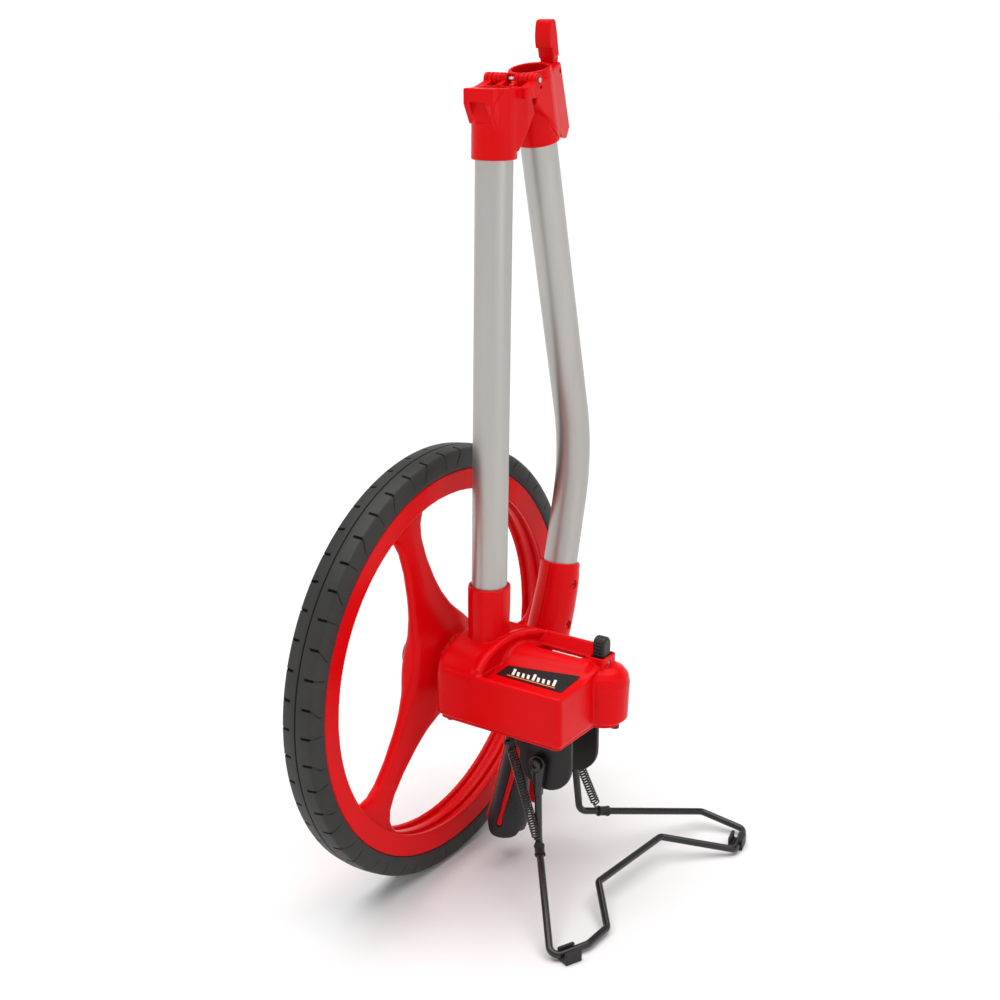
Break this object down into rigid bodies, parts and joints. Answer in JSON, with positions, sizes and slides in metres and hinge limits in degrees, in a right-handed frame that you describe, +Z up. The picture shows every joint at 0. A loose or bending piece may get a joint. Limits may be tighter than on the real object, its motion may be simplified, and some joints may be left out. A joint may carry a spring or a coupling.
{
  "type": "measuring wheel",
  "caption": "Folding distance-measuring wheel: spoked wheel geared to a drum counter, wire parking stand, hinged tube handle with latch, grip and trigger.",
  "frame": {"origin": "on the floor, below the wheel centre, in the wheel's middle plane", "axes": "+X is the rolling direction away from the user, +Y runs along the axle from the wheel to the counter housing, +Z is up"},
  "size_m": [0.318, 0.2177, 0.604],
  "materials": {
    "tyre_rubber": "moulded tread",
    "red_plastic": "glossy moulded",
    "black_plastic": "satin",
    "grip_rubber": "matte",
    "anodised_tube": "satin anodised",
    "bright_steel": "zinc plated",
    "black_steel": "black coated",
    "white_plastic": "satin",
    "clear_plastic": "clear",
    "label_film": "glossy film"
  },
  "bodies": {
    "frame": {"axle": "bright_steel", "axle_nut": "bright_steel", "axle_washer": "bright_steel", "counter_frame": "white_plastic", "counter_window": "clear_plastic", "housing_shell": "red_plastic", "base_plate": "red_plastic", "base_screw_1": "bright_steel", "base_screw_2": "bright_steel", "base_screw_3": "bright_steel", "base_screw_4": "bright_steel", "label_plate": "label_film", "reset_pin": "bright_steel", "stand_bracket": "black_plastic", "spring_bar": "black_steel", "stand_bolt_1": "black_steel", "stand_bolt_2": "black_steel", "stand_nut_1": "bright_steel", "stand_nut_2": "bright_steel", "lower_tube": "anodised_tube", "lower_collar": "red_plastic", "hinge_pin": "bright_steel", "stand_spring_1": "black_steel", "stand_spring_2": "black_steel"},
    "wheel": {"wheel_rim": "red_plastic", "tyre": "tyre_rubber", "bearing_outer": "bright_steel", "bearing_inner": "bright_steel", "hub_cap": "black_plastic", "drive_gear": "white_plastic"},
    "counter_first": {"number_drum_1": "red_plastic", "counter_gear": "white_plastic", "counter_shaft": "bright_steel"},
    "counter_tens": {"number_drum_2": "black_plastic"},
    "counter_hundreds": {"number_drum_3": "black_plastic"},
    "counter_thousands": {"number_drum_4": "black_plastic"},
    "counter_last": {"number_drum_5": "black_plastic"},
    "reset": {"reset_knob": "black_plastic"},
    "stand": {"stand_wire": "black_steel", "foot_1": "grip_rubber", "foot_2": "grip_rubber", "leg_sleeve_1": "black_plastic", "leg_sleeve_2": "black_plastic"},
    "handle": {"upper_collar": "red_plastic", "handle_tube": "anodised_tube", "handle_shell_left": "red_plastic", "handle_shell_right": "red_plastic", "grip_rubber": "grip_rubber", "grip_stripe_left": "red_plastic", "grip_stripe_right": "red_plastic", "handle_screw_1": "black_steel", "handle_screw_2": "black_steel", "latch_pin": "bright_steel", "trigger_pin": "bright_steel"},
    "latch": {"latch_lever": "red_plastic"},
    "trigger": {"trigger": "red_plastic"}
  },
  "joints": [
    {"name": "wheel_spin", "type": "hinge", "parent": "frame", "child": "wheel", "pos_m": [0, 0, 0.159], "axis": [0, 1, 0], "continuous": true},
    {"name": "counter_first_spin", "type": "hinge", "parent": "frame", "child": "counter_first", "pos_m": [-0.009, 0.088, 0.17], "axis": [0, 1, 0], "continuous": true},
    {"name": "counter_tens_spin", "type": "hinge", "parent": "frame", "child": "counter_tens", "pos_m": [-0.009, 0.088, 0.17], "axis": [0, 1, 0], "continuous": true},
    {"name": "counter_hundreds_spin", "type": "hinge", "parent": "frame", "child": "counter_hundreds", "pos_m": [-0.009, 0.088, 0.17], "axis": [0, 1, 0], "continuous": true},
    {"name": "counter_thousands_spin", "type": "hinge", "parent": "frame", "child": "counter_thousands", "pos_m": [-0.009, 0.088, 0.17], "axis": [0, 1, 0], "continuous": true},
    {"name": "counter_last_spin", "type": "hinge", "parent": "frame", "child": "counter_last", "pos_m": [-0.009, 0.088, 0.17], "axis": [0, 1, 0], "continuous": true},
    {"name": "reset_press", "type": "hinge", "parent": "frame", "child": "reset", "pos_m": [-0.0206, 0.12425, 0.18], "axis": [0, 1, 0], "range_deg": [0, 10], "stiffness_Nm_per_rad": 0.05},
    {"name": "stand_fold", "type": "hinge", "parent": "frame", "child": "stand", "pos_m": [0, 0.092, 0.105], "axis": [1, 0, 0], "range_deg": [0, 90], "deforming": ["stand_spring_1", "stand_spring_2"]},
    {"name": "handle_fold", "type": "hinge", "parent": "frame", "child": "handle", "pos_m": [-0.0293, 0.0437, 0.567], "axis": [0, 1, 0], "range_deg": [0, 165.2]},
    {"name": "latch_press", "type": "hinge", "parent": "handle", "child": "latch", "pos_m": [-0.07232, 0.0437, 0.57116], "axis": [0, 1, 0], "range_deg": [-20, 0], "stiffness_Nm_per_rad": 0.2},
    {"name": "trigger_pull", "type": "hinge", "parent": "handle", "child": "trigger", "pos_m": [-0.0565, 0.0437, 0.101], "axis": [0, 1, 0], "range_deg": [-7, 0], "stiffness_Nm_per_rad": 0.6}
  ],
  "couplings": [
    {"joint": "counter_first_spin", "follows": "wheel_spin", "ratio": -1},
    {"joint": "counter_tens_spin", "follows": "wheel_spin", "ratio": -0.1},
    {"joint": "counter_hundreds_spin", "follows": "wheel_spin", "ratio": -0.01},
    {"joint": "counter_thousands_spin", "follows": "wheel_spin", "ratio": -0.001},
    {"joint": "counter_last_spin", "follows": "wheel_spin", "ratio": -0.0001}
  ]
}
